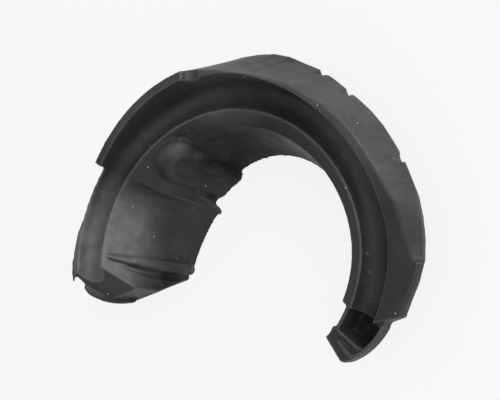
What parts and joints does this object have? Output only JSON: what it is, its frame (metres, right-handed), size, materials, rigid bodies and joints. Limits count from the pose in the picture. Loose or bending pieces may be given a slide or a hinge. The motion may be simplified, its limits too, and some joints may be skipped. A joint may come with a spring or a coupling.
{
  "type": "coil spring insulator",
  "caption": "C-shaped black rubber pad that seats the last turn of a coil spring in a rising half-round channel, with a raised rim and a collar below.",
  "frame": {"origin": "on the coil spring's axis, in the plane of the collar's lower edge", "axes": "+Z along the spring's axis towards the spring, +X through the middle of the level plateau side, +Y towards the middle of the C's back"},
  "size_m": [0.1386, 0.1146, 0.0473],
  "materials": {
    "rubber": "moulded black rubber with a soft sheen, a few mould marks and dust"
  },
  "bodies": {
    "root": {"spring_insulator": "rubber"}
  },
  "joints": []
}
